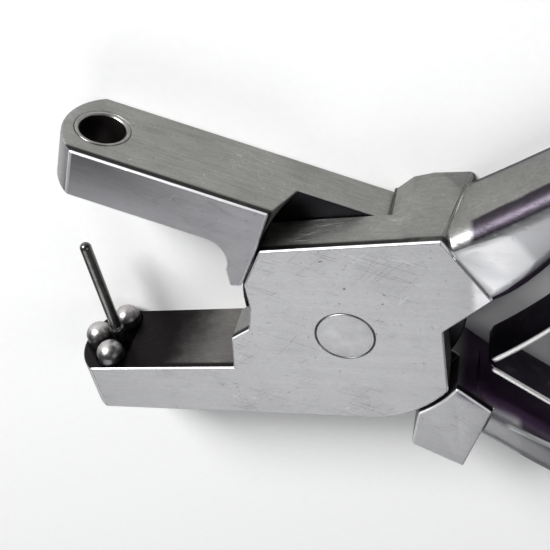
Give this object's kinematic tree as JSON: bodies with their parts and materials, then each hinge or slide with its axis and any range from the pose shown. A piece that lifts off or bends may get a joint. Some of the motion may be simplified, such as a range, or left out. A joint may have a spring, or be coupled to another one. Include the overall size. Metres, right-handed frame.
{
  "type": "lap-joint punch pliers",
  "caption": "Forged steel lap-joint hand pliers: a drilled die jaw swings down on a jaw with an upright punch pin among domed studs; leaf springs and dipped grips.",
  "frame": {"origin": "on the pivot axis, in the plane the tool lies on", "axes": "+X along the tool from the pivot to the handles, +Y in the plane of motion towards the upper jaw side, +Z along the pivot axis, up off the surface"},
  "size_m": [0.1494, 0.0925, 0.0122],
  "materials": {
    "forged_steel": "ground and polished, nickel plated",
    "rivet_steel": "ground flush with the joint",
    "punch_steel": "hardened and polished",
    "dark_steel": "blackened, worn bright on the domes",
    "die_steel": "hardened, ground",
    "spring_steel": "rolled spring strip",
    "screw_steel": "turned, zinc plated",
    "grip_vinyl": "dipped vinyl, satin"
  },
  "bodies": {
    "lower_jaw_side": {"lower_jaw_lever": "forged_steel", "pivot_rivet": "rivet_steel", "punch_pin": "punch_steel", "pin_grub_screw": "dark_steel", "stud_tip": "dark_steel", "stud_front": "dark_steel", "stud_back": "dark_steel", "leaf_spring_upper": "spring_steel", "spring_screw_upper": "screw_steel", "grip_upper": "grip_vinyl"},
    "upper_jaw_side": {"upper_jaw_lever": "forged_steel", "die_bush": "die_steel", "leaf_spring_lower": "spring_steel", "spring_screw_lower": "screw_steel", "grip_lower": "grip_vinyl"}
  },
  "joints": [
    {"name": "jaw_pivot", "type": "hinge", "parent": "lower_jaw_side", "child": "upper_jaw_side", "pos_m": [0, 0, 0], "axis": [0, 0, 1], "range_deg": [0, 27], "stiffness_Nm_per_rad": 0.5, "springref_deg": -14.32, "deforming": ["leaf_spring_upper", "leaf_spring_lower"]}
  ]
}
